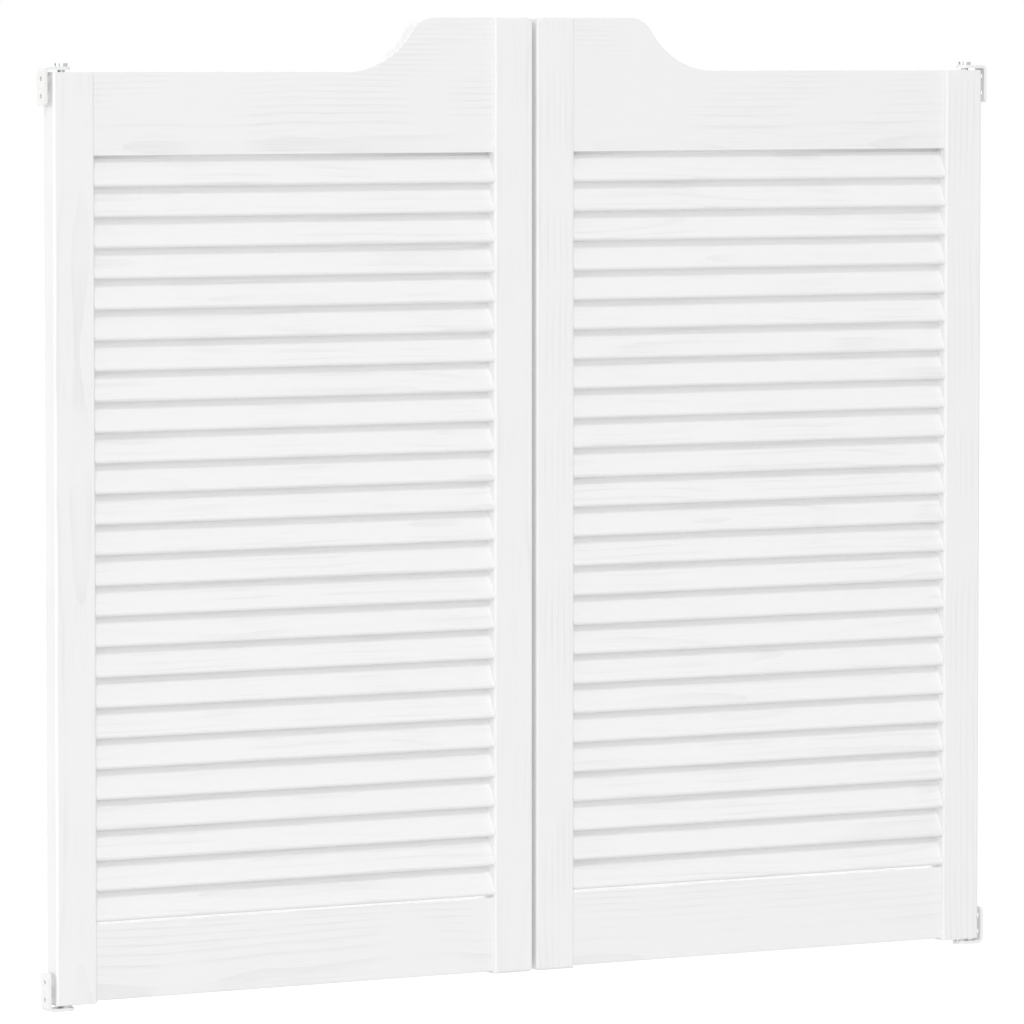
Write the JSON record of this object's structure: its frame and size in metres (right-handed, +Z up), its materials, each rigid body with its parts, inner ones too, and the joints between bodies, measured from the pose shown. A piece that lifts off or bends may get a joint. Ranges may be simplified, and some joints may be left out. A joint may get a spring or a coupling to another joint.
{
  "type": "cafe swinging doors",
  "caption": "Pair of louvred half-height swinging doors in white painted pine, with an S-curved raised middle, on concealed spring pivots and slim jamb brackets.",
  "frame": {"origin": "midway between the two jambs, in the middle of the doors' thickness, level with the underside of the lower brackets", "axes": "+X to the right across the doorway as the front is faced, +Y from front to back through the doorway, +Z up"},
  "size_m": [1.015, 0.022, 0.9056],
  "materials": {
    "painted_pine": "white satin paint, grain faintly showing",
    "beech": "turned, unfinished",
    "white_enamelled_steel": "white stove enamel, satin",
    "zinc_plated_steel": "bright zinc plate",
    "nylon": "moulded, natural",
    "spring_steel": "oiled music wire"
  },
  "bodies": {
    "root": {"left_lower_bracket": "white_enamelled_steel", "left_upper_bracket": "white_enamelled_steel", "left_spindle": "zinc_plated_steel", "left_upper_pin": "zinc_plated_steel", "left_thrust_washer": "nylon", "right_lower_bracket": "white_enamelled_steel", "right_upper_bracket": "white_enamelled_steel", "right_spindle": "zinc_plated_steel", "right_upper_pin": "zinc_plated_steel", "right_thrust_washer": "nylon"},
    "left_door": {"left_outer_stile": "painted_pine", "left_inner_stile": "painted_pine", "left_top_rail": "painted_pine", "left_bottom_rail": "painted_pine", "left_slats_01": "painted_pine", "left_slats_02": "painted_pine", "left_slats_03": "painted_pine", "left_slats_04": "painted_pine", "left_slats_05": "painted_pine", "left_slats_06": "painted_pine", "left_slats_07": "painted_pine", "left_slats_08": "painted_pine", "left_slats_09": "painted_pine", "left_slats_10": "painted_pine", "left_slats_11": "painted_pine", "left_slats_12": "painted_pine", "left_top_rail_dowels": "beech", "left_bottom_rail_dowels": "beech", "left_spring_barrel": "zinc_plated_steel", "left_barrel_screws": "zinc_plated_steel", "left_barrel_bush": "nylon", "left_upper_bush": "nylon", "left_pivot_spring": "spring_steel"},
    "right_door": {"right_outer_stile": "painted_pine", "right_inner_stile": "painted_pine", "right_top_rail": "painted_pine", "right_bottom_rail": "painted_pine", "right_slats_01": "painted_pine", "right_slats_02": "painted_pine", "right_slats_03": "painted_pine", "right_slats_04": "painted_pine", "right_slats_05": "painted_pine", "right_slats_06": "painted_pine", "right_slats_07": "painted_pine", "right_slats_08": "painted_pine", "right_slats_09": "painted_pine", "right_slats_10": "painted_pine", "right_slats_11": "painted_pine", "right_slats_12": "painted_pine", "right_top_rail_dowels": "beech", "right_bottom_rail_dowels": "beech", "right_spring_barrel": "zinc_plated_steel", "right_barrel_screws": "zinc_plated_steel", "right_barrel_bush": "nylon", "right_upper_bush": "nylon", "right_pivot_spring": "spring_steel"}
  },
  "joints": [
    {"name": "left_door_swing", "type": "hinge", "parent": "root", "child": "left_door", "pos_m": [-0.487, 0, 0.45], "axis": [0, 0, 1], "range_deg": [-90, 90], "stiffness_Nm_per_rad": 0.57},
    {"name": "right_door_swing", "type": "hinge", "parent": "root", "child": "right_door", "pos_m": [0.487, 0, 0.45], "axis": [0, 0, 1], "range_deg": [-90, 90], "stiffness_Nm_per_rad": 0.57}
  ]
}
